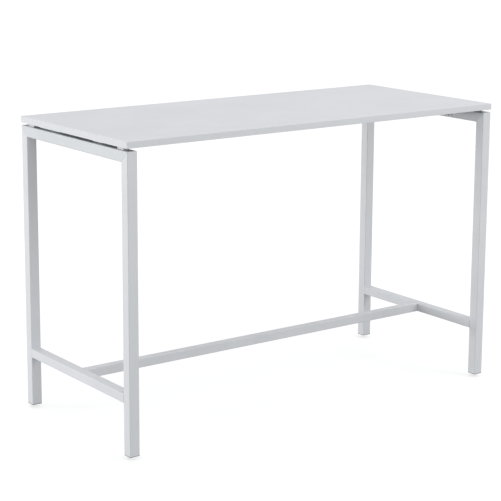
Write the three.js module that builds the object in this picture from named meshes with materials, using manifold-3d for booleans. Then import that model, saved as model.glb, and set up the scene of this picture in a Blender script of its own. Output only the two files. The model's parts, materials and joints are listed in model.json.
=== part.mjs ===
// Standing meeting table: a rectangular top on two inverted-U side frames of square tube.
// The frames are tied by two beams under the top and by one low stretcher.
// Millimetres, X along the length, Y from front to rear, Z up, origin on the floor under the centre.
import * as THREE from "three";
import { mergeVertices } from "three/addons/utils/BufferGeometryUtils.js";
import Module from "manifold-3d";

const wasm = await Module();
wasm.setup();

// Overall size
const tableLength = 1600;
const tableDepth = 700;
const tableHeight = 1050;

// Top
const topThickness = 22;
const bandThickness = 2;
const bandEdgeRadius = 1;

// Side frames
const frameInset = 1.5;
const frameTube = 38;
const frameWall = 2;
const frameCornerRadius = 3;
const smallestInnerRadius = 0.5;
const mitreSeam = 0.3;
const crossRailHeight = 32;
const crossRailTopLevel = 212;

// Stretcher and its two spigots
const stretcherTube = 32;
const stretcherWall = 2;
const stretcherCornerRadius = 2.5;
const spigotLength = 40;
const spigotWall = 5;
const setScrewRadius = 4;
const setScrewFromEnd = 20;
const setScrewSocketFlats = 4;
const setScrewSocketDepth = 3;

// Beams under the top
const beamTube = 30;
const beamWall = 2;
const beamCornerRadius = 2.5;
const beamSpacing = 316;
const endPlateThickness = 4;
const endPlateWidth = 40;
const endFlangeThickness = 4;
const endFlangeFromRailFace = 6;
const frontFlangeWidth = 64;
const rearFlangeWidth = 140;
const beamBoltPitch = 16;
const beamBoltShankLength = 12;
const beamScrewSpacing = 900;
const beamScrewGrip = 14;

// Spacers that hold the top off the frames
const spacerHeight = 10;
const spacerLength = 38;
const spacerWidth = 20;
const spacerCornerRadius = 2;
const spacerFromFrameEnd = 56;
const insertRadius = 6;
const insertLength = 14;
const topScrewGrip = 12;

// Machine screws and wood screws
const boltRadius = 3;
const boltHeadRadius = 5.25;
const boltHeadHeight = 3.3;
const boltSocketFlats = 4;
const boltSocketDepth = 2;
const woodScrewRadius = 2.5;
const woodScrewHeadRadius = 5;
const woodScrewHeadHeight = 3;
const screwTipChamfer = 1;
const headCrownAngle = Math.PI / 5;
const headCrownSteps = 2;

// Levelling feet
const legGap = 2.2;
const padRadius = 13;
const padHeight = 4;
const padFloor = 2;
const padChamfer = 1;
const collarFlats = 13;
const collarHeight = 4;
const stemRadius = 4;
const stemAboveRecess = 27;
const stemTipChamfer = 1;
const plugFlange = 1.6;
const plugDepth = 30;

// Clearances
const pressClearance = 0.3;
const insertClearance = 0.3;
const screwClearance = 0.3;
const seatClearance = 0.2;
const collarClearance = 0.4;
const recessClearance = 0.6;
const headToBeamClearance = 2;

// Fineness of round shapes
const cornerSegments = 3;
const roundSegments = 12;
const hexagonSides = 6;
const weldTolerance = 1e-4;

// Levels and places worked out from the sizes above
const panelBottom = tableHeight - topThickness;
const frameTop = panelBottom - spacerHeight;
const frameHalfLength = tableLength / 2 - frameInset;
const frameHalfDepth = tableDepth / 2 - frameInset;
const legCentreX = frameHalfLength - frameTube / 2;
const legCentreY = frameHalfDepth - frameTube / 2;
const frameInnerX = frameHalfLength - frameTube;
const frameInnerY = frameHalfDepth - frameTube;
const collarBottom = padFloor + seatClearance;
const recessTop = collarBottom + collarHeight + collarClearance;
const legBottom = legGap + plugFlange;
const spacerY = frameHalfDepth - spacerFromFrameEnd;
const beamBottom = panelBottom - beamTube;
const beamHalfLength = frameInnerX - endPlateThickness;
const beamBoltLevel = beamBottom - headToBeamClearance - boltHeadRadius;
const endPlateBottom = beamBoltLevel - boltHeadRadius;

const sidesX = [
  { name: "left", sign: -1 },
  { name: "right", sign: 1 },
];
const sidesY = [
  { name: "front", sign: -1, flangeWidth: frontFlangeWidth },
  { name: "rear", sign: 1, flangeWidth: rearFlangeWidth },
];

const AXIS_X = new THREE.Vector3(1, 0, 0);
const AXIS_Y = new THREE.Vector3(0, 1, 0);
const AXIS_Z = new THREE.Vector3(0, 0, 1);
const DOWN = new THREE.Vector3(0, 0, -1);
const FORWARD = new THREE.Vector3(0, -1, 0);

// Materials
const coating = new THREE.MeshStandardMaterial({ color: 0xd3d6d9, roughness: 0.42, metalness: 0.1 });
const laminate = new THREE.MeshStandardMaterial({ color: 0xdcdee2, roughness: 0.5, metalness: 0 });
const edging = new THREE.MeshStandardMaterial({ color: 0xd9dbde, roughness: 0.45, metalness: 0 });
const zincSteel = new THREE.MeshStandardMaterial({ color: 0xb4b6b8, roughness: 0.35, metalness: 1 });
const burnishedSteel = new THREE.MeshStandardMaterial({ color: 0x6c6e70, roughness: 0.45, metalness: 0.8 });
const plugPlastic = new THREE.MeshStandardMaterial({ color: 0x48494b, roughness: 0.55, metalness: 0 });
const padPlastic = new THREE.MeshStandardMaterial({ color: 0x5c5d5f, roughness: 0.6, metalness: 0 });
const spacerPlastic = new THREE.MeshStandardMaterial({ color: 0xd2d4d6, roughness: 0.5, metalness: 0 });

const table = new THREE.Group();

function addPiece(name, geometry, material, x, y, z) {
  const piece = new THREE.Mesh(geometry, material);
  piece.name = name;
  piece.position.set(x, y, z);
  table.add(piece);
}

// Solids: joining and cutting

function toSolid(geometry) {
  const bare = geometry.index ? geometry.toNonIndexed() : geometry.clone();
  bare.deleteAttribute("normal");
  bare.deleteAttribute("uv");
  const merged = mergeVertices(bare, weldTolerance);
  return new wasm.Manifold(
    new wasm.Mesh({
      numProp: 3,
      vertProperties: merged.attributes.position.array,
      triVerts: new Uint32Array(merged.index.array),
    }),
  );
}

function toGeometry(solid) {
  const mesh = solid.getMesh();
  const geometry = new THREE.BufferGeometry();
  geometry.setAttribute("position", new THREE.BufferAttribute(new Float32Array(mesh.vertProperties), 3));
  geometry.setIndex(new THREE.BufferAttribute(new Uint32Array(mesh.triVerts), 1));
  geometry.computeVertexNormals();
  return geometry;
}

function cut(geometry, cutters) {
  return toGeometry(cutters.reduce((solid, cutter) => solid.subtract(toSolid(cutter)), toSolid(geometry)));
}

function join(first, second) {
  return toGeometry(toSolid(first).add(toSolid(second)));
}

// Shapes that several pieces share

// Turns a geometry so that its own X, Y and Z run along the given directions.
function turned(geometry, x, y, z) {
  return geometry.applyMatrix4(new THREE.Matrix4().makeBasis(x, y, z));
}

// Round shapes are drawn about Y, and this stands them up along Z.
function upright(geometry) {
  return turned(geometry, AXIS_X, AXIS_Z, FORWARD);
}

// Lays a geometry that was drawn along Z along the table's length instead.
function alongLength(geometry) {
  return turned(geometry, AXIS_Y, AXIS_Z, AXIS_X);
}

// Lays a geometry that was drawn along Z along the table's depth, with its own Y pointing down.
function alongDepth(geometry) {
  return turned(geometry, AXIS_X, DOWN, AXIS_Y);
}

function drawRoundedRectangle(path, width, height, radius) {
  const x = width / 2 - radius;
  const y = height / 2 - radius;
  path.absarc(x, -y, radius, -Math.PI / 2, 0);
  path.absarc(x, y, radius, 0, Math.PI / 2);
  path.absarc(-x, y, radius, Math.PI / 2, Math.PI);
  path.absarc(-x, -y, radius, Math.PI, 1.5 * Math.PI);
  path.closePath();
  return path;
}

// An extrusion along Z, centred on the origin.
function centredExtrusion(shape, length) {
  const geometry = new THREE.ExtrudeGeometry(shape, {
    depth: length,
    bevelEnabled: false,
    curveSegments: cornerSegments,
  });
  return geometry.translate(0, 0, -length / 2);
}

function tubeGeometry(width, height, wall, radius, length) {
  const shape = drawRoundedRectangle(new THREE.Shape(), width, height, radius);
  const innerRadius = Math.max(radius - wall, smallestInnerRadius);
  const hollow = drawRoundedRectangle(new THREE.Path(), width - 2 * wall, height - 2 * wall, innerRadius);
  shape.holes.push(hollow);
  return centredExtrusion(shape, length);
}

// Cuts one end of a tube along Z to 45 degrees. The tube keeps its full length on the long side,
// which is its +Y or -Y face, and half of the seam is taken off along the tube.
function mitreEnd(geometry, end, longSide) {
  const position = geometry.attributes.position;
  for (let i = 0; i < position.count; i += 1) {
    if (Math.sign(position.getZ(i)) !== end) continue;
    const fromLongSide = frameTube / 2 - longSide * position.getY(i);
    position.setZ(i, position.getZ(i) - end * (fromLongSide + mitreSeam / 2));
  }
  return geometry;
}

function rodGeometry(radius, length) {
  return upright(new THREE.CylinderGeometry(radius, radius, length, roundSegments));
}

function hexagonGeometry(flats, height) {
  const cornerRadius = flats / Math.sqrt(3);
  return upright(new THREE.CylinderGeometry(cornerRadius, cornerRadius, height, hexagonSides));
}

function turnedProfile(points) {
  const outline = points.map(([radius, level]) => new THREE.Vector2(radius, level));
  return upright(new THREE.LatheGeometry(outline, roundSegments));
}

function ringGeometry(outerRadius, innerRadius, height) {
  return turnedProfile([
    [innerRadius, 0],
    [outerRadius, 0],
    [outerRadius, height],
    [innerRadius, height],
    [innerRadius, 0],
  ]);
}

// A screw whose head sits below the origin and whose shank rises along +Z.
function screwGeometry(shankRadius, shankLength, headRadius, headHeight) {
  const crown = [];
  for (let step = 0; step <= headCrownSteps; step += 1) {
    const angle = headCrownAngle + (Math.PI / 2 - headCrownAngle) * step / headCrownSteps;
    const rise = Math.cos(angle) / Math.cos(headCrownAngle);
    crown.push([headRadius * Math.sin(angle), -headHeight * rise]);
  }
  const screw = turnedProfile([
    [0, -headHeight],
    ...crown,
    [shankRadius, 0],
    [shankRadius, shankLength - screwTipChamfer],
    [shankRadius - screwTipChamfer, shankLength],
    [0, shankLength],
  ]);
  const socket = hexagonGeometry(boltSocketFlats, 2 * boltSocketDepth);
  return cut(screw, [socket.translate(0, 0, -headHeight)]);
}

// A straight hole along Z through everything near the given place.
function uprightHole(radius, x, y, z, length) {
  return rodGeometry(radius, length).translate(x, y, z);
}

// A straight hole along X.
function lengthwiseHole(radius, x, y, z, length) {
  return alongLength(rodGeometry(radius, length)).translate(x, y, z);
}

// Top: a board with edge banding, bored from below for the inserts and the beam screws

function addTop() {
  const boardLength = tableLength - 2 * bandThickness;
  const boardDepth = tableDepth - 2 * bandThickness;
  const boardCentre = panelBottom + topThickness / 2;
  const bores = [];
  const insertHoleDepth = insertLength + screwClearance;
  const pilotDepth = beamScrewGrip + screwClearance;
  for (const sideX of sidesX) {
    for (const sideY of sidesY) {
      const insertX = sideX.sign * legCentreX;
      const insertY = sideY.sign * spacerY;
      const pilotX = sideX.sign * beamScrewSpacing / 2;
      const pilotY = sideY.sign * beamSpacing / 2;
      const insertHole = insertRadius + insertClearance;
      const pilotHole = woodScrewRadius + insertClearance;
      bores.push(uprightHole(insertHole, insertX, insertY, -topThickness / 2, 2 * insertHoleDepth));
      bores.push(uprightHole(pilotHole, pilotX, pilotY, -topThickness / 2, 2 * pilotDepth));
    }
  }
  const board = new THREE.BoxGeometry(boardLength, boardDepth, topThickness);
  addPiece("top_panel", cut(board, bores), laminate, 0, 0, boardCentre);

  const bandCentreX = tableLength / 2 - bandThickness;
  const bandCentreY = tableDepth / 2 - bandThickness;
  for (const side of sidesY) {
    const outward = new THREE.Vector3(0, side.sign, 0);
    const along = new THREE.Vector3(side.sign, 0, 0);
    const band = turned(bandGeometry(tableLength), outward, AXIS_Z, along);
    addPiece(`edge_band_${side.name}`, band, edging, 0, side.sign * bandCentreY, boardCentre);
  }
  for (const side of sidesX) {
    const outward = new THREE.Vector3(side.sign, 0, 0);
    const along = new THREE.Vector3(0, -side.sign, 0);
    const band = turned(bandGeometry(boardDepth), outward, AXIS_Z, along);
    addPiece(`edge_band_${side.name}`, band, edging, side.sign * bandCentreX, 0, boardCentre);
  }
}

// A strip of banding along Z: its back lies on X = 0 and its outer edges are rounded.
function bandGeometry(length) {
  const shape = new THREE.Shape();
  const flat = bandThickness - bandEdgeRadius;
  const half = topThickness / 2;
  shape.moveTo(0, -half);
  shape.absarc(flat, -half + bandEdgeRadius, bandEdgeRadius, -Math.PI / 2, 0);
  shape.absarc(flat, half - bandEdgeRadius, bandEdgeRadius, 0, Math.PI / 2);
  shape.lineTo(0, half);
  shape.closePath();
  return centredExtrusion(shape, length);
}

// Side frames: two legs and a top rail with mitred corners, and a low cross rail between the legs

function addSideFrames() {
  const legLength = frameTop - legBottom;
  const legCentre = (frameTop + legBottom) / 2;
  const crossRailCentre = crossRailTopLevel - crossRailHeight / 2;
  for (const sideX of sidesX) {
    const x = sideX.sign * legCentreX;
    for (const sideY of sidesY) {
      const tube = tubeGeometry(frameTube, frameTube, frameWall, frameCornerRadius, legLength);
      const leg = mitreEnd(tube, 1, sideY.sign);
      addPiece(`leg_${sideY.name}_${sideX.name}`, leg, coating, x, sideY.sign * legCentreY, legCentre);
    }
    addPiece(`top_rail_${sideX.name}`, topRailGeometry(sideX.sign), coating, x, 0, frameTop - frameTube / 2);
    const crossTube = tubeGeometry(frameTube, crossRailHeight, frameWall, frameCornerRadius, 2 * frameInnerY);
    addPiece(`cross_rail_${sideX.name}`, alongDepth(crossTube), coating, x, 0, crossRailCentre);
  }
}

// The rail is bored through for the top's screws, and its inner wall is bored for the beams' bolts.
function topRailGeometry(sign) {
  const tube = tubeGeometry(frameTube, frameTube, frameWall, frameCornerRadius, 2 * frameHalfDepth);
  const mitred = mitreEnd(mitreEnd(tube, 1, -1), -1, -1);
  const holeRadius = boltRadius + screwClearance;
  const railCentre = frameTop - frameTube / 2;
  const innerWallX = sign * (frameInnerX - legCentreX);
  const holes = [];
  for (const side of sidesY) {
    holes.push(uprightHole(holeRadius, 0, side.sign * spacerY, 0, 2 * frameTube));
    for (const boltY of beamBoltPlaces(side.sign)) {
      holes.push(lengthwiseHole(holeRadius, innerWallX, boltY, beamBoltLevel - railCentre, frameTube));
    }
  }
  return cut(alongDepth(mitred), holes);
}

function beamBoltPlaces(sign) {
  const beamY = sign * beamSpacing / 2;
  return [beamY - beamBoltPitch / 2, beamY + beamBoltPitch / 2];
}

// Stretcher: a tube between the cross rails, slid over a spigot at each end and locked from below

function addStretcher() {
  const centre = crossRailTopLevel - stretcherTube / 2;
  const setScrewX = frameInnerX - setScrewFromEnd;
  const holeRadius = setScrewRadius + screwClearance;
  const spigotSize = stretcherTube - 2 * stretcherWall - 2 * pressClearance;
  const spigotRadius = Math.max(stretcherCornerRadius - stretcherWall, smallestInnerRadius);
  const screwLength = stretcherWall + pressClearance + spigotWall;
  const stretcherBottom = crossRailTopLevel - stretcherTube;
  const hole = (x) => uprightHole(holeRadius, x, 0, -stretcherTube / 2, stretcherTube);

  const tube = tubeGeometry(
    stretcherTube,
    stretcherTube,
    stretcherWall,
    stretcherCornerRadius,
    2 * frameInnerX,
  );
  const stretcher = cut(alongLength(tube), [hole(-setScrewX), hole(setScrewX)]);
  addPiece("stretcher", stretcher, coating, 0, 0, centre);

  for (const side of sidesX) {
    const spigotX = side.sign * (frameInnerX - spigotLength / 2);
    const blank = alongLength(tubeGeometry(spigotSize, spigotSize, spigotWall, spigotRadius, spigotLength));
    const spigot = cut(blank, [hole(side.sign * setScrewX - spigotX)]);
    addPiece(`stretcher_spigot_${side.name}`, spigot, zincSteel, spigotX, 0, centre);

    const rod = rodGeometry(setScrewRadius, screwLength).translate(0, 0, screwLength / 2);
    const setScrew = cut(rod, [hexagonGeometry(setScrewSocketFlats, 2 * setScrewSocketDepth)]);
    const screwX = side.sign * setScrewX;
    addPiece(`stretcher_set_screw_${side.name}`, setScrew, burnishedSteel, screwX, 0, stretcherBottom);
  }
}

// Beams: tubes under the top, screwed to it from below
// The plate on each end is bolted to the rail's inner face, and its flange reaches out under the top.

function addBeams() {
  const beamCentre = beamBottom + beamTube / 2;
  const plateCentre = (panelBottom + endPlateBottom) / 2;
  const plateHeight = panelBottom - endPlateBottom;
  const flangeLength = frameHalfLength - endFlangeFromRailFace - beamHalfLength;
  const boltHole = boltRadius + screwClearance;
  const screwHole = woodScrewRadius + screwClearance;
  const screwLength = beamTube + beamScrewGrip;
  for (const sideY of sidesY) {
    const y = sideY.sign * beamSpacing / 2;
    const tube = tubeGeometry(beamTube, beamTube, beamWall, beamCornerRadius, 2 * beamHalfLength);
    const holes = sidesX.map(({ sign }) => {
      return uprightHole(screwHole, sign * beamScrewSpacing / 2, 0, 0, 2 * beamTube);
    });
    addPiece(`beam_${sideY.name}`, cut(alongLength(tube), holes), coating, 0, y, beamCentre);

    for (const sideX of sidesX) {
      const place = `${sideY.name}_${sideX.name}`;
      const plateX = sideX.sign * (frameInnerX - endPlateThickness / 2);
      const plate = new THREE.BoxGeometry(endPlateThickness, endPlateWidth, plateHeight);
      const flangeOffset = sideX.sign * (flangeLength - endPlateThickness) / 2;
      const flange = new THREE.BoxGeometry(flangeLength, sideY.flangeWidth, endFlangeThickness);
      flange.translate(flangeOffset, 0, (plateHeight - endFlangeThickness) / 2);
      const boltPlaces = beamBoltPlaces(sideY.sign);
      const plateHoles = boltPlaces.map((boltY) => {
        return lengthwiseHole(boltHole, 0, boltY - y, beamBoltLevel - plateCentre, 2 * endPlateThickness);
      });
      const endPlate = cut(join(plate, flange), plateHoles);
      addPiece(`beam_end_plate_${place}`, endPlate, coating, plateX, y, plateCentre);

      boltPlaces.forEach((boltY, index) => {
        const upBolt = screwGeometry(boltRadius, beamBoltShankLength, boltHeadRadius, boltHeadHeight);
        const outward = new THREE.Vector3(sideX.sign, 0, 0);
        const across = new THREE.Vector3(0, sideX.sign, 0);
        const bolt = turned(upBolt, across, AXIS_Z, outward);
        const boltX = sideX.sign * beamHalfLength;
        addPiece(`beam_bolt_${place}_${index + 1}`, bolt, burnishedSteel, boltX, boltY, beamBoltLevel);
      });

      const screw = screwGeometry(woodScrewRadius, screwLength, woodScrewHeadRadius, woodScrewHeadHeight);
      addPiece(`beam_screw_${place}`, screw, zincSteel, sideX.sign * beamScrewSpacing / 2, y, beamBottom);
    }
  }
}

// Top fixings: a spacer on the rail, an insert in the board and a long screw from below through both

function addTopFixings() {
  const screwLength = frameTube + spacerHeight + topScrewGrip;
  for (const sideX of sidesX) {
    for (const sideY of sidesY) {
      const place = `${sideY.name}_${sideX.name}`;
      const x = sideX.sign * legCentreX;
      const y = sideY.sign * spacerY;
      const insert = ringGeometry(insertRadius, boltRadius + screwClearance, insertLength);
      const screw = screwGeometry(boltRadius, screwLength, boltHeadRadius, boltHeadHeight);
      addPiece(`top_spacer_${place}`, spacerGeometry(), spacerPlastic, x, y, frameTop);
      addPiece(`top_insert_${place}`, insert, zincSteel, x, y, panelBottom);
      addPiece(`top_screw_${place}`, screw, zincSteel, x, y, frameTop - frameTube);
    }
  }
}

// A block with its length along Y, bored for the screw.
function spacerGeometry() {
  const outline = drawRoundedRectangle(new THREE.Shape(), spacerWidth, spacerLength, spacerCornerRadius);
  const block = centredExtrusion(outline, spacerHeight).translate(0, 0, spacerHeight / 2);
  return cut(block, [uprightHole(boltRadius + screwClearance, 0, 0, spacerHeight / 2, 2 * spacerHeight)]);
}

// Levelling feet: a plug pressed into the leg, a threaded stem with a hexagon collar, and a round pad
// Screwed fully in, the pad lies in a recess of the plug, and the leg ends just off the floor.

function addFeet() {
  for (const sideX of sidesX) {
    for (const sideY of sidesY) {
      const place = `${sideY.name}_${sideX.name}`;
      const x = sideX.sign * legCentreX;
      const y = sideY.sign * legCentreY;
      addPiece(`leg_plug_${place}`, plugGeometry(), plugPlastic, x, y, legGap);
      addPiece(`foot_stem_${place}`, stemGeometry(), zincSteel, x, y, 0);
      addPiece(`foot_pad_${place}`, padGeometry(), padPlastic, x, y, 0);
    }
  }
}

function plugGeometry() {
  const flangeShape = drawRoundedRectangle(new THREE.Shape(), frameTube, frameTube, frameCornerRadius);
  const flange = centredExtrusion(flangeShape, plugFlange).translate(0, 0, plugFlange / 2);
  const bodySize = frameTube - 2 * frameWall - 2 * pressClearance;
  const bodyRadius = Math.max(frameCornerRadius - frameWall, smallestInnerRadius);
  const bodyShape = drawRoundedRectangle(new THREE.Shape(), bodySize, bodySize, bodyRadius);
  const bodyHeight = plugFlange + plugDepth;
  const body = centredExtrusion(bodyShape, bodyHeight).translate(0, 0, bodyHeight / 2);
  const thread = uprightHole(stemRadius + screwClearance, 0, 0, bodyHeight / 2, 2 * bodyHeight);
  const recess = uprightHole(padRadius + recessClearance, 0, 0, 0, 2 * (recessTop - legGap));
  return cut(join(flange, body), [thread, recess]);
}

function stemGeometry() {
  const collar = hexagonGeometry(collarFlats, collarHeight).translate(0, 0, collarBottom + collarHeight / 2);
  const top = recessTop + stemAboveRecess;
  const shank = turnedProfile([
    [0, collarBottom],
    [stemRadius, collarBottom],
    [stemRadius, top - stemTipChamfer],
    [stemRadius - stemTipChamfer, top],
    [0, top],
  ]);
  return join(collar, shank);
}

function padGeometry() {
  const recessRadius = collarFlats / Math.sqrt(3) + seatClearance + screwClearance;
  return turnedProfile([
    [0, 0],
    [padRadius - padChamfer, 0],
    [padRadius, padChamfer],
    [padRadius, padHeight - padChamfer],
    [padRadius - padChamfer, padHeight],
    [recessRadius, padHeight],
    [recessRadius, padFloor],
    [0, padFloor],
  ]);
}

addTop();
addSideFrames();
addStretcher();
addBeams();
addTopFixings();
addFeet();

export default table;
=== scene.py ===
"""Standing meeting table: finished surfaces, materials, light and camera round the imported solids.

Metres, in the frame of the solids: X along the length, Y from front to rear, Z up from under the feet.
"""

import json
import math

import bmesh
import bpy
from mathutils import Matrix, Vector


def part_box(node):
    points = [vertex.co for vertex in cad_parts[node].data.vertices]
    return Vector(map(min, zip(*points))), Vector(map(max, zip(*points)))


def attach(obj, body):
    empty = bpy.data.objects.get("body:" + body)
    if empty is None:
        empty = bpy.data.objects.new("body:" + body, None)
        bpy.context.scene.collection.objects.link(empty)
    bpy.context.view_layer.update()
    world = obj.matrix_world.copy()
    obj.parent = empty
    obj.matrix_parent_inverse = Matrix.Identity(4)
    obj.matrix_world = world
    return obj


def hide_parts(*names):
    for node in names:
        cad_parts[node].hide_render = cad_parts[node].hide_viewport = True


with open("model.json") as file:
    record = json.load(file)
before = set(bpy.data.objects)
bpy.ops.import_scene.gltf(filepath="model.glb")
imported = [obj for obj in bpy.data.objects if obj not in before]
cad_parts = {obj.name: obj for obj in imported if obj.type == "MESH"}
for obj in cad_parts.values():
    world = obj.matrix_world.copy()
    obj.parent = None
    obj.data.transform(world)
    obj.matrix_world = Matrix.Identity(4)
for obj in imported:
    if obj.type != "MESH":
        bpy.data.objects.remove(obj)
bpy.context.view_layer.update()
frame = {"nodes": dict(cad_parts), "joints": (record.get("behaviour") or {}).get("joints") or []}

MM = 0.001
SIDES_X = {"left": -1, "right": 1}
SIDES_Y = {"front": -1, "rear": 1}
SIDES_Z = {"top": 1, "bottom": -1}
GROW = 1
SHRINK = -1
UP = 1
DOWN = -1
PLACES = [(y, x) for y in SIDES_Y for x in SIDES_X]

# Tubes
TUBE_WALL = 2 * MM
FRAME_CORNER = 3 * MM
SMALL_TUBE_CORNER = 2.5 * MM
INNER_CORNER = 0.8 * MM
TUBE_END_EASE = 0.6 * MM
BEAD_CROSS_RAIL = 2.5 * MM
BEAD_BEAM = 1.6 * MM
BEAD_RIPPLE = 2.2 * MM
BEAD_RIPPLE_SHARE = 0.1
BEAD_HOLLOW = 0.22
BEAD_ROOT = 0.1 * MM
BEAD_TAPER_LENGTH = 1.5
BEAD_POINTS_ON_RAIL = 41
BEAD_POINTS_BESIDE_BEAM = 15

# Board and edge strips
# How far up from the board's underside its painted shade reaches.
PAINTED_SHADE_THICKNESS = 0.4 * MM
STRIP_EDGE_RADIUS = 1 * MM
STRIP_CORNER_RADIUS = 1.9 * MM
STRIP_EDGE_STEPS = 5
STRIP_ROUND_PROFILE = 0.5
STRIP_TOLERANCE = 0.05 * MM

# Screws and bolts
SOCKET_FLATS = 4 * MM
SOCKET_DEPTH = 2 * MM
SOCKET_LEAD_IN = 0.25 * MM
BOLT_SHANK_RADIUS = 3 * MM
BOLT_HEAD_HEIGHT = 3.3 * MM
BOLT_NUMBERS = (1, 2)
WOOD_SCREW_SHANK_RADIUS = 2.5 * MM
WOOD_SCREW_HEAD_HEIGHT = 3 * MM
SCREW_TIP_CHAMFER = 1 * MM
SET_SCREW_SOCKET_DEPTH = 3 * MM
SET_SCREW_HOLE_PLAY = 0.3 * MM
SET_SCREW_CHAMFER = 0.5 * MM
CROWN_ANGLE = math.pi / 5
CROWN_STEPS = 6

# Feet
PLUG_FLANGE = 1.6 * MM
PLUG_EDGE = 0.5 * MM
PLUG_TOP_EDGE = 0.3 * MM
PLUG_PLAY = 0.3 * MM
PLUG_LEAD_IN = 2 * MM
PLUG_TAPER = 1 * MM
PLUG_HOLE_RADIUS = 4.3 * MM
PLUG_RECESS_RADIUS = 13.6 * MM
PLUG_RECESS_DEPTH = 4.4 * MM
PLUG_RECESS_LIP = 0.5 * MM
PAD_EDGE = 1 * MM
PAD_FLOOR = 2 * MM
PAD_RECESS_RADIUS = 8 * MM
PAD_LIP = 0.4 * MM
COLLAR_FLATS = 13 * MM
COLLAR_HEIGHT = 4 * MM
COLLAR_CHAMFER = 0.6 * MM
STEM_RADIUS = 4 * MM
STEM_TIP_CHAMFER = 1 * MM
THREAD_PITCH = 1.25 * MM
THREAD_DEPTH = 0.7 * MM
THREAD_LOOPS_A_TURN = 6

# Spacers
SPACER_BORE = 3.3 * MM
SPACER_CORNER = 2 * MM
SPACER_EDGE = 0.4 * MM

# Fineness
CORNER_STEPS = 8
SIDE_POINTS = 9
ROUND_STEPS = 36
EDGE_STEPS = 5
SHARP_ANGLE = math.radians(32)


# Materials

# Screen values are linear up to a dark limit, and follow a power curve above it.
FULL_TONE = 255
DARK_LIMIT = 0.04045
DARK_SLOPE = 12.92
CURVE_OFFSET = 0.055
CURVE_POWER = 2.4

# Noise lies mostly between these two values.
NOISE_LOW = 0.3
NOISE_HIGH = 0.7


def linear(value):
    share = value / FULL_TONE
    if share <= DARK_LIMIT:
        return share / DARK_SLOPE
    return ((share + CURVE_OFFSET) / (1 + CURVE_OFFSET)) ** CURVE_POWER


def tone(red, green, blue):
    """A colour written from 0 to 255 as the screen shows it, in the linear values that shaders take."""
    return (linear(red), linear(green), linear(blue), 1)


class Shader:
    """A material with one main shader, and short ways to add the textures that feed it."""

    def __init__(self, name, metallic=0.0):
        self.material = bpy.data.materials.new(name)
        self.material.use_nodes = True
        self.tree = self.material.node_tree
        self.main = self.tree.nodes["Principled BSDF"]
        self.main.inputs["Metallic"].default_value = metallic
        self.place = self.tree.nodes.new("ShaderNodeTexCoord").outputs["Object"]

    def link(self, output, socket):
        self.tree.links.new(output, socket)

    def stretched(self, x, y, z):
        node = self.tree.nodes.new("ShaderNodeMapping")
        node.inputs["Scale"].default_value = (x, y, z)
        self.link(self.place, node.inputs["Vector"])
        return node.outputs["Vector"]

    def noise(self, scale, detail, place=None):
        node = self.tree.nodes.new("ShaderNodeTexNoise")
        node.inputs["Scale"].default_value = scale
        node.inputs["Detail"].default_value = detail
        self.link(place or self.place, node.inputs["Vector"])
        return node.outputs["Fac"]

    def cells(self, scale):
        node = self.tree.nodes.new("ShaderNodeTexVoronoi")
        node.feature = "SMOOTH_F1"
        node.inputs["Scale"].default_value = scale
        self.link(self.place, node.inputs["Vector"])
        return node.outputs["Distance"]

    def ramp(self, amount, low, high):
        node = self.tree.nodes.new("ShaderNodeValToRGB")
        node.color_ramp.elements[0].position = NOISE_LOW
        node.color_ramp.elements[0].color = low
        node.color_ramp.elements[1].position = NOISE_HIGH
        node.color_ramp.elements[1].color = high
        self.link(amount, node.inputs["Fac"])
        return node.outputs["Color"]

    def below(self, level, under, over):
        """One colour below a height of the piece, and another above it."""
        parts = self.tree.nodes.new("ShaderNodeSeparateXYZ")
        self.link(self.place, parts.inputs["Vector"])
        side = self.tree.nodes.new("ShaderNodeMath")
        side.operation = "LESS_THAN"
        side.inputs[1].default_value = level
        self.link(parts.outputs["Z"], side.inputs[0])
        node = self.tree.nodes.new("ShaderNodeMixRGB")
        self.link(side.outputs["Value"], node.inputs["Fac"])
        self.link(over, node.inputs["Color1"])
        self.link(under, node.inputs["Color2"])
        return node.outputs["Color"]

    def speckled(self, colour, amount, strength):
        """Darkens or lightens a colour a little by a texture that lies about 0.5."""
        spread = self.tree.nodes.new("ShaderNodeMapRange")
        spread.inputs["To Min"].default_value = 1 - strength
        spread.inputs["To Max"].default_value = 1 + strength
        self.link(amount, spread.inputs["Value"])
        node = self.tree.nodes.new("ShaderNodeVectorMath")
        node.operation = "SCALE"
        self.link(colour, node.inputs["Vector"])
        self.link(spread.outputs["Result"], node.inputs["Scale"])
        return node.outputs["Vector"]

    def colour(self, output):
        self.link(output, self.main.inputs["Base Color"])

    def roughness(self, amount, low, high):
        node = self.tree.nodes.new("ShaderNodeMapRange")
        node.inputs["From Min"].default_value = NOISE_LOW
        node.inputs["From Max"].default_value = NOISE_HIGH
        node.inputs["To Min"].default_value = low
        node.inputs["To Max"].default_value = high
        self.link(amount, node.inputs["Value"])
        self.link(node.outputs["Result"], self.main.inputs["Roughness"])

    def bump(self, height, strength, depth):
        """Adds a layer of bumps over those that were added before it."""
        node = self.tree.nodes.new("ShaderNodeBump")
        node.inputs["Strength"].default_value = strength
        node.inputs["Distance"].default_value = depth
        self.link(height, node.inputs["Height"])
        normal = self.main.inputs["Normal"]
        if normal.is_linked:
            self.link(normal.links[0].from_socket, node.inputs["Normal"])
        self.link(node.outputs["Normal"], normal)


def powder_coat(name, low, high):
    """Satin powder coat: a fine orange-peel surface with small changes of gloss."""
    shader = Shader(name)
    peel = shader.noise(scale=620, detail=3)
    grain = shader.noise(scale=2400, detail=1)
    clouds = shader.ramp(shader.noise(scale=7, detail=3), low, high)
    shader.colour(shader.speckled(clouds, grain, strength=0.03))
    shader.roughness(shader.noise(scale=45, detail=4), low=0.38, high=0.5)
    shader.bump(peel, strength=0.22, depth=0.3 * MM)
    shader.bump(grain, strength=0.1, depth=0.08 * MM)
    return shader.material


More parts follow.
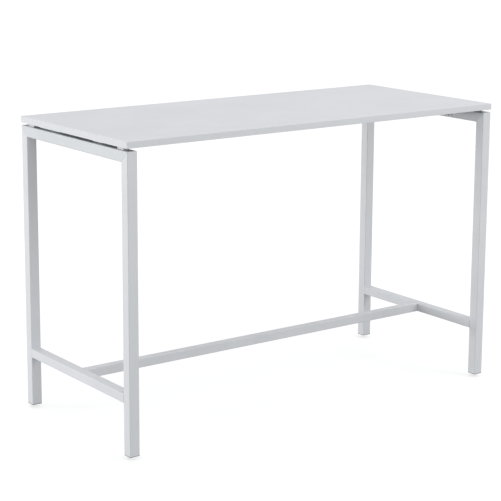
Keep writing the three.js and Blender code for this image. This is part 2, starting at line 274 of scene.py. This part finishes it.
def laminate(name, low, high, painted_shade_low, painted_shade_high, painted_shade_level):
    """Melamine-faced board: a close pearl texture under an even matt tone, and painted shade on its back: a
    dark grey that darkens the gap between the top and the rails.
    """
    shader = Shader(name)
    pearl = shader.cells(scale=900)
    fine = shader.noise(scale=1700, detail=2)
    clouds = shader.noise(scale=5, detail=5)
    facing = shader.ramp(clouds, low, high)
    painted_shade = shader.ramp(clouds, painted_shade_low, painted_shade_high)
    both = shader.below(painted_shade_level, painted_shade, facing)
    shader.colour(shader.speckled(both, fine, strength=0.025))
    shader.roughness(shader.noise(scale=160, detail=4), low=0.58, high=0.7)
    shader.bump(pearl, strength=0.2, depth=0.12 * MM)
    shader.bump(fine, strength=0.12, depth=0.06 * MM)
    return shader.material


def edge_plastic(name, low, high):
    """Extruded edge strip: faint draw lines along its length."""
    shader = Shader(name)
    lines = shader.noise(scale=1, detail=3, place=shader.stretched(x=9, y=9, z=1500))
    fine = shader.noise(scale=1900, detail=2)
    shader.colour(shader.speckled(shader.ramp(lines, low, high), fine, strength=0.02))
    shader.roughness(shader.noise(scale=120, detail=3), low=0.4, high=0.5)
    shader.bump(lines, strength=0.1, depth=0.08 * MM)
    shader.bump(fine, strength=0.1, depth=0.05 * MM)
    return shader.material


def moulded_plastic(name, low, high, rough_low, rough_high):
    """Moulded plastic with a spark-eroded matt surface."""
    shader = Shader(name)
    spark = shader.noise(scale=3000, detail=2)
    clouds = shader.ramp(shader.noise(scale=90, detail=3), low, high)
    shader.colour(shader.speckled(clouds, spark, strength=0.03))
    shader.roughness(shader.noise(scale=400, detail=3), rough_low, rough_high)
    shader.bump(spark, strength=0.25, depth=0.06 * MM)
    return shader.material


def steel(name, low, high, rough_low, rough_high, metallic):
    """Plated or burnished steel with cloudy changes of tone and fine marks of turning."""
    shader = Shader(name, metallic=metallic)
    marks = shader.noise(scale=2600, detail=2)
    clouds = shader.ramp(shader.noise(scale=260, detail=4), low, high)
    shader.colour(shader.speckled(clouds, marks, strength=0.06))
    shader.roughness(shader.noise(scale=700, detail=3), rough_low, rough_high)
    shader.bump(marks, strength=0.15, depth=0.04 * MM)
    return shader.material


COAT = powder_coat("powder_coat", low=tone(217, 219, 222), high=tone(221, 223, 226))
# The top rails take the same coat a little darker: painted shade, so that the mitres between rails and legs
# show as a step in tone.
RAIL_COAT_PAINTED_SHADE = powder_coat("powder_coat_of_rails_painted_shade", low=tone(209, 212, 215), high=tone(213, 216, 219))
# The dark grey under the board is painted shade, which darkens the gap between the top and the rails.
BOARD = laminate(
    "melamine_board",
    low=tone(219, 220, 224),
    high=tone(223, 224, 228),
    painted_shade_low=tone(100, 101, 103),
    painted_shade_high=tone(110, 111, 113),
    painted_shade_level=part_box("top_panel")[0].z + PAINTED_SHADE_THICKNESS,
)
STRIP = edge_plastic("edge_strip_plastic", low=tone(217, 219, 222), high=tone(221, 223, 226))
ZINC = steel(
    "zinc_plated_steel",
    low=tone(176, 180, 184),
    high=tone(206, 208, 210),
    rough_low=0.28,
    rough_high=0.44,
    metallic=1.0,
)
BURNISHED = steel(
    "burnished_steel",
    low=tone(150, 152, 155),
    high=tone(172, 174, 177),
    rough_low=0.36,
    rough_high=0.52,
    metallic=0.4,
)
SPACER_PLASTIC = moulded_plastic(
    "spacer_plastic",
    low=tone(218, 220, 222),
    high=tone(224, 226, 228),
    rough_low=0.42,
    rough_high=0.55,
)
# The plugs' dark grey is partly their own colour and partly painted shade: it stands in for the shadow in
# the gap under each leg's end.
PLUG_PLASTIC_AND_PAINTED_SHADE = moulded_plastic(
    "plug_plastic",
    low=tone(66, 67, 69),
    high=tone(78, 79, 81),
    rough_low=0.45,
    rough_high=0.58,
)
PAD_PLASTIC = moulded_plastic(
    "pad_plastic",
    low=tone(88, 89, 91),
    high=tone(98, 99, 101),
    rough_low=0.5,
    rough_high=0.62,
)


# Meshes

def smooth(mesh):
    mesh.polygons.foreach_set("use_smooth", [True] * len(mesh.polygons))
    mesh.set_sharp_from_angle(angle=SHARP_ANGLE)


def new_piece(name, build):
    """Turns a bmesh into a smooth-shaded object whose flat faces stay flat."""
    bmesh.ops.recalc_face_normals(build, faces=build.faces)
    mesh = bpy.data.meshes.new(name)
    build.to_mesh(mesh)
    build.free()
    smooth(mesh)
    piece = bpy.data.objects.new(name, mesh)
    bpy.context.scene.collection.objects.link(piece)
    weighted = piece.modifiers.new("flat_faces", "WEIGHTED_NORMAL")
    weighted.keep_sharp = True
    return piece


def loft(name, loops, ring=False):
    """A skin over closed loops of as many points each, closed at both ends or run round as a ring."""
    build = bmesh.new()
    rows = [[build.verts.new(point) for point in loop] for loop in loops]
    pairs = list(zip(rows, rows[1:]))
    if ring:
        pairs.append((rows[-1], rows[0]))
    else:
        build.faces.new(rows[0])
        build.faces.new(rows[-1])
    for lower, upper in pairs:
        for i, corner in enumerate(lower):
            following = (i + 1) % len(lower)
            build.faces.new((corner, lower[following], upper[following], upper[i]))
    return new_piece(name, build)


def paint(piece, material):
    piece.data.materials.clear()
    piece.data.materials.append(material)


def dress(piece, body, material, slot, *nodes):
    """Gives a piece its material, and puts it on its body in the place of these solids."""
    paint(piece, material)
    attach(piece, body)
    if nodes:
        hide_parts(*nodes)


def finish_name(node):
    return f"{node}_finish"


def spread(first, last, count):
    """Evenly spaced values from the first to the last."""
    return [first + (last - first) * i / (count - 1) for i in range(count)]


def along_x(centre):
    """Places points of a piece that lies along X: u and v are across it, and w is along it."""
    return lambda u, v, w: Vector((w, centre.y + u, centre.z + v))


def along_y(centre):
    """Places points of a piece that lies along Y: u and v are across it, and w is along it."""
    return lambda u, v, w: Vector((centre.x + u, w, centre.z + v))


def along_z(centre):
    """Places points of a piece that stands upright: u and v are across it, and w is along it."""
    return lambda u, v, w: Vector((centre.x + u, centre.y + v, w))


def rounded_outline(half_width, half_height, radius):
    """Points of a rounded rectangle, anticlockwise from its right side."""
    points = []
    for quarter, (right, up) in enumerate([(1, 1), (-1, 1), (-1, -1), (1, -1)]):
        for step in range(CORNER_STEPS + 1):
            angle = (quarter + step / CORNER_STEPS) * math.pi / 2
            across = right * (half_width - radius) + radius * math.cos(angle)
            points.append((across, up * (half_height - radius) + radius * math.sin(angle)))
    return points


def with_side_points(outline):
    """The same outline with more points along its straight sides, each of which follows a rounded corner."""
    points = []
    for i, (u, v) in enumerate(outline):
        points.append((u, v))
        if (i + 1) % (CORNER_STEPS + 1) == 0:
            next_u, next_v = outline[(i + 1) % len(outline)]
            for step in range(1, SIDE_POINTS + 1):
                share = step / (SIDE_POINTS + 1)
                points.append((u + (next_u - u) * share, v + (next_v - v) * share))
    return points


def level_loop(outline, centre, level):
    return [Vector((centre.x + u, centre.y + v, level)) for u, v in outline]


def bore_loop(outline, radius, centre, level):
    """A round loop with one point towards each point of the outline."""
    loop = []
    for u, v in outline:
        share = radius / math.hypot(u, v)
        loop.append(Vector((centre.x + u * share, centre.y + v * share, level)))
    return loop


def round_angles():
    return [2 * math.pi * i / ROUND_STEPS for i in range(ROUND_STEPS)]


def circle(radius, level, place):
    return [place(radius * math.cos(angle), radius * math.sin(angle), level) for angle in round_angles()]


def corner_reach(flats):
    """How far the corners of a hexagon lie from its middle."""
    return flats / math.sqrt(3)


def hexagon(flats, level, place, largest=None):
    """A hexagon with as many points as a circle. Its corners are turned down to the largest radius."""
    loop = []
    sixth = math.pi / 3
    for angle in round_angles():
        radius = flats / 2 / math.cos((angle + sixth / 2) % sixth - sixth / 2)
        if largest:
            radius = min(radius, largest)
        loop.append(place(radius * math.cos(angle), radius * math.sin(angle), level))
    return loop


def rounded_edge(radius, level, edge, across, along):
    """Radii and levels of a quarter round that starts at the given radius and level.

    From there the radius grows or shrinks, and the level goes up or down.
    """
    pairs = []
    for step in range(EDGE_STEPS + 1):
        angle = math.pi / 2 * step / EDGE_STEPS
        edge_radius = radius + across * edge * (1 - math.cos(angle))
        pairs.append((edge_radius, level + along * edge * math.sin(angle)))
    return pairs


# Edge strips of the top

def edge_strip(node, outward, long_ends):
    """A strip whose outer edges are rounded, and its ends too where they show at the table's corners."""
    low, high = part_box(node)
    build = bmesh.new()
    bmesh.ops.create_cube(build, size=1)
    size = high - low
    for vert in build.verts:
        vert.co = Vector(a * b for a, b in zip(vert.co, size)) + (low + high) / 2
    axis = 0 if outward.x else 1
    along = 1 - axis
    inner = (low if outward[axis] > 0 else high)[axis]
    if long_ends:
        uprights = [e for e in build.edges if on_front(e, axis, inner) and is_upright(e)]
        bevel(build, uprights, STRIP_CORNER_RADIUS)
    shown = []
    for edge in build.edges:
        at_end = all(abs(v.co[along]) > (high[along] - STRIP_EDGE_RADIUS / 2) for v in edge.verts)
        if on_front(edge, axis, inner) and not is_upright(edge) and (long_ends or not at_end):
            shown.append(edge)
    bevel(build, shown, STRIP_EDGE_RADIUS)
    return new_piece(finish_name(node), build)


def is_upright(edge):
    low, high = sorted(vert.co.z for vert in edge.verts)
    return high - low > STRIP_EDGE_RADIUS


def on_front(edge, axis, inner):
    """True for an edge that doesn't lie wholly on the back of its strip."""
    return any(abs(vert.co[axis] - inner) > STRIP_TOLERANCE for vert in edge.verts)


def bevel(build, edges, radius):
    bmesh.ops.bevel(
        build,
        geom=edges,
        offset=radius,
        segments=STRIP_EDGE_STEPS,
        profile=STRIP_ROUND_PROFILE,
        affect="EDGES",
    )


def make_top():
    paint(frame["nodes"]["top_panel"], BOARD)
    for name, sign in SIDES_Y.items():
        node = f"edge_band_{name}"
        strip = edge_strip(node, Vector((0, sign, 0)), long_ends=True)
        dress(strip, "table", STRIP, "edge_band", node)
    for name, sign in SIDES_X.items():
        node = f"edge_band_{name}"
        strip = edge_strip(node, Vector((sign, 0, 0)), long_ends=False)
        dress(strip, "table", STRIP, "edge_band", node)


# Tubes

def tube(name, width, height, corner, place, start, end):
    """A hollow square tube with eased ends.

    The functions start and end give how far along the tube ends at a point of its section.
    """
    ease = TUBE_END_EASE
    outer = rounded_outline(width / 2, height / 2, corner)
    eased = rounded_outline(width / 2 - ease, height / 2 - ease, corner - ease)
    inner_corner = max(corner - TUBE_WALL, INNER_CORNER)
    inner = rounded_outline(width / 2 - TUBE_WALL, height / 2 - TUBE_WALL, inner_corner)
    loops = [
        [place(u, v, start(u, v)) for u, v in eased],
        [place(u, v, start(u, v) + ease) for u, v in outer],
        [place(u, v, end(u, v) - ease) for u, v in outer],
        [place(u, v, end(u, v)) for u, v in eased],
        [place(u, v, end(u, v)) for u, v in inner],
        [place(u, v, start(u, v)) for u, v in inner],
    ]
    return loft(name, loops, ring=True)


def level_end(value):
    return lambda u, v: value


def make_legs():
    for y_name, x_name in PLACES:
        node = f"leg_{y_name}_{x_name}"
        low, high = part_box(node)
        place = along_z((low + high) / 2)
        size = high.x - low.x
        sign = SIDES_Y[y_name]

        def mitre(u, v):
            return high.z - (size / 2 - sign * v)

        leg = tube(finish_name(node), size, size, FRAME_CORNER, place, level_end(low.z), mitre)
        dress(leg, "table", COAT, "frame_coating", node)


def make_top_rails():
    for x_name in SIDES_X:
        node = f"top_rail_{x_name}"
        low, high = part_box(node)
        place = along_y((low + high) / 2)
        size = high.z - low.z

        def front_mitre(u, v):
            return low.y + size / 2 - v

        def rear_mitre(u, v):
            return high.y - (size / 2 - v)

        rail = tube(finish_name(node), size, size, FRAME_CORNER, place, front_mitre, rear_mitre)
        dress(rail, "table", RAIL_COAT_PAINTED_SHADE, "frame_coating", node)


def make_cross_rails():
    for x_name in SIDES_X:
        node = f"cross_rail_{x_name}"
        low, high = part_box(node)
        place = along_y((low + high) / 2)
        size = high - low
        ends = (level_end(low.y), level_end(high.y))
        rail = tube(finish_name(node), size.x, size.z, FRAME_CORNER, place, *ends)
        dress(rail, "table", COAT, "frame_coating", node)
        make_rail_welds(x_name, low, high)


def make_rail_welds(x_name, low, high):
    """Beads over and under both ends of a cross rail."""
    centre = (low + high) / 2
    half = (high - low).x / 2 - FRAME_CORNER
    across = [centre.x + half * share for share in spread(-1, 1, BEAD_POINTS_ON_RAIL)]
    for y_name, y_sign in SIDES_Y.items():
        joint_y = high.y if y_sign > 0 else low.y
        for z_name, z_sign in SIDES_Z.items():
            joint_z = high.z if z_sign > 0 else low.z
            path = [Vector((x, joint_y, joint_z)) for x in across]
            directions = [(Vector((0, -y_sign, 0)), Vector((0, 0, z_sign)))] * len(path)
            bead_name = f"weld_cross_rail_{y_name}_{x_name}_{z_name}"
            bead = weld_bead(bead_name, path, directions, BEAD_CROSS_RAIL)
            dress(bead, "table", COAT, "frame_coating")


def weld_bead(name, path, directions, size):
    """A painted fillet weld along a path. Each pair of directions lies along the two faces that it joins."""
    travelled = 0.0
    lengths = [0.0]
    for before, after in zip(path, path[1:]):
        travelled += (after - before).length
        lengths.append(travelled)
    loops = []
    for point, (first, second), length in zip(path, directions, lengths):
        from_end = min(length, travelled - length)
        taper = math.sqrt(min(1.0, (from_end + BEAD_ROOT) / (BEAD_TAPER_LENGTH * size)))
        ripple = 1 - BEAD_RIPPLE_SHARE * abs(math.sin(math.pi * length / BEAD_RIPPLE))
        reach = size * taper * ripple
        loop = [point - (first + second) * BEAD_ROOT]
        for step in range(EDGE_STEPS + 1):
            angle = math.pi / 2 * step / EDGE_STEPS
            radius = reach * (1 - BEAD_HOLLOW * math.sin(2 * angle))
            loop.append(point + first * radius * math.cos(angle) + second * radius * math.sin(angle))
        loops.append(loop)
    return loft(name, loops)


def make_stretcher():
    node = "stretcher"
    low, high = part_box(node)
    place = along_x((low + high) / 2)
    size = high - low
    ends = (level_end(low.x), level_end(high.x))
    stretcher = tube(finish_name(node), size.y, size.z, SMALL_TUBE_CORNER, place, *ends)
    for x_name in SIDES_X:
        make_set_screw(f"stretcher_set_screw_{x_name}", stretcher)
        paint(frame["nodes"][f"stretcher_spigot_{x_name}"], ZINC)
    dress(stretcher, "table", COAT, "frame_coating", node)


def make_set_screw(node, stretcher):
    """A screw without a head that locks the stretcher from below, and its hole in the tube's lower wall."""
    low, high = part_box(node)
    place = along_z((low + high) / 2)
    radius = (high.x - low.x) / 2
    hole_radius = radius + SET_SCREW_HOLE_PLAY
    hole = [
        circle(hole_radius, low.z - TUBE_WALL, place),
        circle(hole_radius, low.z + 2 * TUBE_WALL, place),
    ]
    cut_hole(stretcher, loft("hole_cutter", hole))
    loops = [
        hexagon(SOCKET_FLATS, low.z + SET_SCREW_SOCKET_DEPTH, place),
        hexagon(SOCKET_FLATS, low.z + SOCKET_LEAD_IN, place),
        circle(corner_reach(SOCKET_FLATS) + SOCKET_LEAD_IN, low.z, place),
        circle(radius - SET_SCREW_CHAMFER, low.z, place),
        circle(radius, low.z + SET_SCREW_CHAMFER, place),
        circle(radius, high.z - SET_SCREW_CHAMFER, place),
        circle(radius - SET_SCREW_CHAMFER, high.z, place),
    ]
    dress(loft(finish_name(node), loops), "table", BURNISHED, "burnished_steel", node)


def cut_hole(piece, cutter):
    """Cuts one solid out of another for good, and takes the cutter away."""
    weighted = piece.modifiers[0]
    weighted.show_viewport = False
    change = piece.modifiers.new("hole", "BOOLEAN")
    change.operation = "DIFFERENCE"
    change.solver = "EXACT"
    change.object = cutter
    graph = bpy.context.evaluated_depsgraph_get()
    mesh = bpy.data.meshes.new_from_object(piece.evaluated_get(graph))
    piece.modifiers.remove(change)
    weighted.show_viewport = True
    piece.data = mesh
    smooth(mesh)
    bpy.data.objects.remove(cutter)


def make_beams():
    for y_name in SIDES_Y:
        node = f"beam_{y_name}"
        low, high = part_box(node)
        centre = (low + high) / 2
        size = high - low
        ends = (level_end(low.x), level_end(high.x))
        beam = tube(finish_name(node), size.y, size.z, SMALL_TUBE_CORNER, along_x(centre), *ends)
        dress(beam, "table", COAT, "frame_coating", node)
        for x_name, x_sign in SIDES_X.items():
            make_beam_end(f"{y_name}_{x_name}", x_sign, centre, size, high.x)


def make_beam_end(name, x_sign, centre, size, beam_end):
    """The plate on one end of a beam with its weld and bolts, and the wood screw near it."""
    paint(frame["nodes"][f"beam_end_plate_{name}"], COAT)
    make_beam_weld(name, x_sign, centre, size, beam_end)
    for number in BOLT_NUMBERS:
        make_beam_bolt(f"beam_bolt_{name}_{number}", x_sign, beam_end)
    node = f"beam_screw_{name}"
    wood_screw = upright_screw(node, WOOD_SCREW_SHANK_RADIUS, WOOD_SCREW_HEAD_HEIGHT)
    dress(wood_screw, "table", ZINC, "zinc_steel", node)


def make_beam_weld(name, x_sign, centre, size, beam_end):
    """A bead down one side of a beam's end, under it and up the other side."""
    bead_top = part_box(f"beam_end_plate_{name}")[1].z - BEAD_BEAM
    outline = rounded_outline(size.y / 2, size.z / 2, SMALL_TUBE_CORNER)
    rising = spread(-size.z / 2 + SMALL_TUBE_CORNER, bead_top - centre.z, BEAD_POINTS_BESIDE_BEAM)
    path = [(-size.y / 2, v) for v in reversed(rising[1:])]
    path += [(u, v) for u, v in outline if v < 0]
    path += [(size.y / 2, v) for v in rising[1:]]
    points = [Vector((x_sign * beam_end, centre.y + u, centre.z + v)) for u, v in path]
    inward = Vector((-x_sign, 0, 0))
    directions = [(inward, section_normal(u, v, size)) for u, v in path]
    bead = weld_bead(f"weld_beam_{name}", points, directions, BEAD_BEAM)
    dress(bead, "table", COAT, "frame_coating")


def make_beam_bolt(node, x_sign, seat):
    """A bolt whose head lies on the inner side of its seat and whose shank points away from the middle."""
    low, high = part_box(node)
    centre = (low + high) / 2

    def place(u, v, w):
        return Vector((x_sign * (seat + w), centre.y + u, centre.z + v))

    head_radius = (high.z - low.z) / 2
    length = (high.x - low.x) - BOLT_HEAD_HEIGHT
    bolt = screw(finish_name(node), place, BOLT_SHANK_RADIUS, length, head_radius, BOLT_HEAD_HEIGHT)
    dress(bolt, "table", BURNISHED, "burnished_steel", node)


def section_normal(u, v, size):
    """The outward direction of a rounded square section at one of its points."""
    straight_u = size.y / 2 - SMALL_TUBE_CORNER
    straight_v = size.z / 2 - SMALL_TUBE_CORNER
    across = math.copysign(max(abs(u) - straight_u, 0), u)
    up = math.copysign(max(abs(v) - straight_v, 0), v)
    return Vector((0, across, up)).normalized()


# Screws

def screw(name, place, shank_radius, shank_length, head_radius, head_height):
    """A button-head screw with a hexagon socket: its head lies below level 0 and its shank rises from it."""
    loops = [
        circle(shank_radius - SCREW_TIP_CHAMFER, shank_length, place),
        circle(shank_radius, shank_length - SCREW_TIP_CHAMFER, place),
        circle(shank_radius, 0, place),
    ]
    for step in range(CROWN_STEPS + 1):
        angle = math.pi / 2 + (CROWN_ANGLE - math.pi / 2) * step / CROWN_STEPS
        level = -head_height * math.cos(angle) / math.cos(CROWN_ANGLE)
        loops.append(circle(head_radius * math.sin(angle), level, place))
    loops.append(circle(corner_reach(SOCKET_FLATS) + SOCKET_LEAD_IN, -head_height, place))
    loops.append(hexagon(SOCKET_FLATS, SOCKET_LEAD_IN - head_height, place))
    loops.append(hexagon(SOCKET_FLATS, SOCKET_DEPTH - head_height, place))
    return loft(name, loops)


def upright_screw(node, shank_radius, head_height):
    low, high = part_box(node)
    centre = (low + high) / 2

    def place(u, v, w):
        return Vector((centre.x + u, centre.y + v, low.z + head_height + w))

    length = high.z - low.z - head_height
    return screw(finish_name(node), place, shank_radius, length, (high.x - low.x) / 2, head_height)


# Spacers between rail and top

def make_top_fixings():
    for y_name, x_name in PLACES:
        place_name = f"{y_name}_{x_name}"
        make_spacer(f"top_spacer_{place_name}")
        screw_node = f"top_screw_{place_name}"
        top_screw = upright_screw(screw_node, BOLT_SHANK_RADIUS, BOLT_HEAD_HEIGHT)
        dress(top_screw, "table", ZINC, "zinc_steel", screw_node)
        paint(frame["nodes"][f"top_insert_{place_name}"], ZINC)


def make_spacer(node):
    """A bored block with rounded edges."""
    low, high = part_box(node)
    centre = (low + high) / 2
    size = high - low

    def block(inset):
        outline = rounded_outline(size.x / 2 - inset, size.y / 2 - inset, SPACER_CORNER - inset)
        return with_side_points(outline)

    edges = list(reversed(rounded_edge(0, low.z + SPACER_EDGE, SPACER_EDGE, GROW, DOWN)))
    edges += rounded_edge(0, high.z - SPACER_EDGE, SPACER_EDGE, GROW, UP)
    loops = [bore_loop(block(0), SPACER_BORE, centre, low.z)]
    loops += [level_loop(block(inset), centre, level) for inset, level in edges]
    loops.append(bore_loop(block(0), SPACER_BORE, centre, high.z))
    spacer = loft(finish_name(node), loops, ring=True)
    dress(spacer, "table", SPACER_PLASTIC, "spacer_plastic", node)


# Levelling feet

def make_feet():
    for y_name, x_name in PLACES:
        place_name = f"{y_name}_{x_name}"
        make_plug(place_name)
        make_stem(place_name)
        make_pad(place_name)


def make_plug(place_name):
    node = f"leg_plug_{place_name}"
    low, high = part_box(node)
    centre = (low + high) / 2
    half = (high.x - low.x) / 2
    body_half = half - TUBE_WALL - PLUG_PLAY
    flange_top = low.z + PLUG_FLANGE

    def square(half_size, corner, level):
        outline = with_side_points(rounded_outline(half_size, half_size, corner))
        return level_loop(outline, centre, level)

    def bore(radius, level):
        outline = with_side_points(rounded_outline(half, half, FRAME_CORNER))
        return bore_loop(outline, radius, centre, level)

    recess_top = low.z + PLUG_RECESS_DEPTH
    edge = rounded_edge(half, low.z + PLUG_EDGE, PLUG_EDGE, SHRINK, DOWN)
    loops = [
        bore(PLUG_HOLE_RADIUS, recess_top),
        bore(PLUG_RECESS_RADIUS, recess_top),
        bore(PLUG_RECESS_RADIUS, low.z + PLUG_RECESS_LIP),
        bore(PLUG_RECESS_RADIUS + PLUG_RECESS_LIP, low.z),
    ]
    loops += [square(r, FRAME_CORNER - half + r, z) for r, z in reversed(edge)]
    loops += [
        square(half, FRAME_CORNER, flange_top - PLUG_TOP_EDGE),
        square(half - PLUG_TOP_EDGE, FRAME_CORNER - PLUG_TOP_EDGE, flange_top),
        square(body_half, INNER_CORNER, flange_top),
        square(body_half, INNER_CORNER, high.z - PLUG_LEAD_IN),
        square(body_half - PLUG_TAPER, INNER_CORNER, high.z),
        bore(PLUG_HOLE_RADIUS, high.z),
    ]
    plug = loft(finish_name(node), loops, ring=True)
    dress(plug, "table", PLUG_PLASTIC_AND_PAINTED_SHADE, "plug_plastic", node)


def make_stem(place_name):
    node = f"foot_stem_{place_name}"
    low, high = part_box(node)
    place = along_z((low + high) / 2)
    collar_top = low.z + COLLAR_HEIGHT
    turned_down = corner_reach(COLLAR_FLATS) - COLLAR_CHAMFER
    loops = [
        hexagon(COLLAR_FLATS, low.z, place, turned_down),
        hexagon(COLLAR_FLATS, low.z + COLLAR_CHAMFER, place),
        hexagon(COLLAR_FLATS, collar_top - COLLAR_CHAMFER, place),
        hexagon(COLLAR_FLATS, collar_top, place, turned_down),
        circle(STEM_RADIUS - THREAD_DEPTH, collar_top, place),
    ]
    thread_top = high.z - STEM_TIP_CHAMFER
    count = round((thread_top - collar_top) / THREAD_PITCH * THREAD_LOOPS_A_TURN)
    for level in spread(collar_top + THREAD_PITCH / 2, thread_top, count):
        loop = []
        for angle in round_angles():
            phase = (level / THREAD_PITCH - angle / (2 * math.pi)) % 1
            flank = abs(2 * phase - 1)
            radius = STEM_RADIUS - THREAD_DEPTH * flank
            loop.append(place(radius * math.cos(angle), radius * math.sin(angle), level))
        loops.append(loop)
    loops.append(circle(STEM_RADIUS - STEM_TIP_CHAMFER, high.z, place))
    stem = loft(finish_name(node), loops)
    dress(stem, f"stem_{place_name}", ZINC, "zinc_steel", node)


def make_pad(place_name):
    node = f"foot_pad_{place_name}"
    low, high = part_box(node)
    place = along_z((low + high) / 2)
    radius = (high.x - low.x) / 2
    profile = list(reversed(rounded_edge(radius, low.z + PAD_EDGE, PAD_EDGE, SHRINK, DOWN)))
    profile += rounded_edge(radius, high.z - PAD_EDGE, PAD_EDGE, SHRINK, UP)
    profile += [
        (PAD_RECESS_RADIUS + PAD_LIP, high.z),
        (PAD_RECESS_RADIUS, high.z - PAD_LIP),
        (PAD_RECESS_RADIUS, low.z + PAD_FLOOR),
    ]
    pad = loft(finish_name(node), [circle(r, z, place) for r, z in profile])
    dress(pad, f"pad_{place_name}", PAD_PLASTIC, "pad_plastic", node)


# Floor, light and camera

# The floor lies just under the lowest reach of the levelling feet.
FOOT_TRAVEL = max(joint["range_m"][1] for joint in frame["joints"] if joint["type"] == "slide")
FLOOR_CLEARANCE = 0.2 * MM
FLOOR_HALF = 45.0
FLOOR_GLOW = 0.66
FLOOR_COLOUR = (0.45, 0.45, 0.45, 1)
WHITE = (1, 1, 1, 1)
SKY_COLOUR = (0.98, 0.99, 1.0, 1)
SKY_STRENGTH = 0.828

# Each soft box stands at a place and faces a target. Its size is in metres and its power in watts.
SOFT_BOXES = {
    "left_rear_high": dict(place=(-9.0, 6.0, 2.6), target=(0, 0, 0.6), width=4.0, height=2.6, power=193),
    "left_rear_low": dict(place=(-9.0, 6.0, 0.5), target=(0, 0, 0.7), width=4.0, height=0.9, power=247),
    "front_right_high": dict(place=(4.0, -5.5, 4.5), target=(0.2, 0, 0.6), width=3.0, height=2.5, power=100),
    "front_right_low": dict(place=(3.4, -4.6, 1.6), target=(0.2, 0, 0.6), width=2.6, height=2.2, power=21),
}

CAMERA_PLACE = Vector((-3.389, -4.520, 1.840))
CAMERA_TURN = math.radians(36.386)
CAMERA_DIP = math.radians(11.264)
CAMERA_ROLL = math.radians(-0.317)
CAMERA_LENS = 113.22
CAMERA_SHIFT = -0.10
CAMERA_REACH = 4 * FLOOR_HALF
SENSOR_WIDTH = 36.0


def seen_directly(tree):
    """1 for rays from the camera, a mirror or glass, and 0 for light that bounces off matt surfaces."""
    path = tree.nodes.new("ShaderNodeLightPath")
    total = path.outputs["Is Camera Ray"]
    for kind in ("Is Glossy Ray", "Is Transmission Ray"):
        join = tree.nodes.new("ShaderNodeMath")
        join.operation = "MAXIMUM"
        tree.links.new(total, join.inputs[0])
        tree.links.new(path.outputs[kind], join.inputs[1])
        total = join.outputs["Value"]
    return total


def make_floor():
    build = bmesh.new()
    bmesh.ops.create_grid(build, x_segments=1, y_segments=1, size=FLOOR_HALF)
    floor = new_piece("floor", build)
    floor.modifiers.clear()
    floor.location.z = -FOOT_TRAVEL - FLOOR_CLEARANCE
    material = bpy.data.materials.new("pale_floor")
    material.use_nodes = True
    tree = material.node_tree
    tree.nodes.clear()
    matt = tree.nodes.new("ShaderNodeBsdfDiffuse")
    matt.inputs["Color"].default_value = FLOOR_COLOUR
    glow = tree.nodes.new("ShaderNodeEmission")
    glow.inputs["Color"].default_value = WHITE
    glow.inputs["Strength"].default_value = FLOOR_GLOW
    both = tree.nodes.new("ShaderNodeAddShader")
    mix = tree.nodes.new("ShaderNodeMixShader")
    output = tree.nodes.new("ShaderNodeOutputMaterial")
    tree.links.new(matt.outputs["BSDF"], both.inputs[0])
    tree.links.new(glow.outputs["Emission"], both.inputs[1])
    tree.links.new(seen_directly(tree), mix.inputs["Fac"])
    tree.links.new(matt.outputs["BSDF"], mix.inputs[1])
    tree.links.new(both.outputs["Shader"], mix.inputs[2])
    tree.links.new(mix.outputs["Shader"], output.inputs["Surface"])
    floor.data.materials.append(material)


def make_sky():
    world = bpy.data.worlds.new("studio")
    bpy.context.scene.world = world
    world.use_nodes = True
    tree = world.node_tree
    tree.nodes.clear()
    soft = tree.nodes.new("ShaderNodeBackground")
    soft.inputs["Color"].default_value = SKY_COLOUR
    soft.inputs["Strength"].default_value = SKY_STRENGTH
    white = tree.nodes.new("ShaderNodeBackground")
    white.inputs["Color"].default_value = WHITE
    mix = tree.nodes.new("ShaderNodeMixShader")
    output = tree.nodes.new("ShaderNodeOutputWorld")
    tree.links.new(seen_directly(tree), mix.inputs["Fac"])
    tree.links.new(soft.outputs["Background"], mix.inputs[1])
    tree.links.new(white.outputs["Background"], mix.inputs[2])
    tree.links.new(mix.outputs["Shader"], output.inputs["Surface"])


def soft_box(name, place, target, width, height, power):
    light = bpy.data.lights.new(name, "AREA")
    light.shape = "RECTANGLE"
    light.size = width
    light.size_y = height
    light.energy = power
    lamp = bpy.data.objects.new(name, light)
    lamp.location = place
    lamp.rotation_mode = "QUATERNION"
    lamp.rotation_quaternion = (Vector(target) - Vector(place)).to_track_quat("-Z", "Y")
    lamp.visible_camera = False
    bpy.context.scene.collection.objects.link(lamp)


def make_lights():
    for name, box in SOFT_BOXES.items():
        soft_box(name, **box)


def make_camera():
    turn, dip, roll = CAMERA_TURN, CAMERA_DIP, CAMERA_ROLL
    ahead = Vector((math.sin(turn) * math.cos(dip), math.cos(turn) * math.cos(dip), -math.sin(dip)))
    right = Vector((math.cos(turn), -math.sin(turn), 0))
    down = ahead.cross(right)
    across = right * math.cos(roll) + down * math.sin(roll)
    up = right * math.sin(roll) - down * math.cos(roll)
    data = bpy.data.cameras.new("camera")
    data.sensor_width = SENSOR_WIDTH
    data.lens = CAMERA_LENS
    data.shift_y = CAMERA_SHIFT
    data.clip_end = CAMERA_REACH
    camera = bpy.data.objects.new("camera", data)
    axes = Matrix((across, up, -ahead)).transposed()
    camera.matrix_world = Matrix.Translation(CAMERA_PLACE) @ axes.to_4x4()
    bpy.context.scene.collection.objects.link(camera)
    bpy.context.scene.camera = camera


make_top()
make_legs()
make_top_rails()
make_cross_rails()
make_stretcher()
make_beams()
make_top_fixings()
make_feet()
make_floor()
make_sky()
make_lights()
make_camera()
bpy.context.scene.view_settings.view_transform = "Standard"
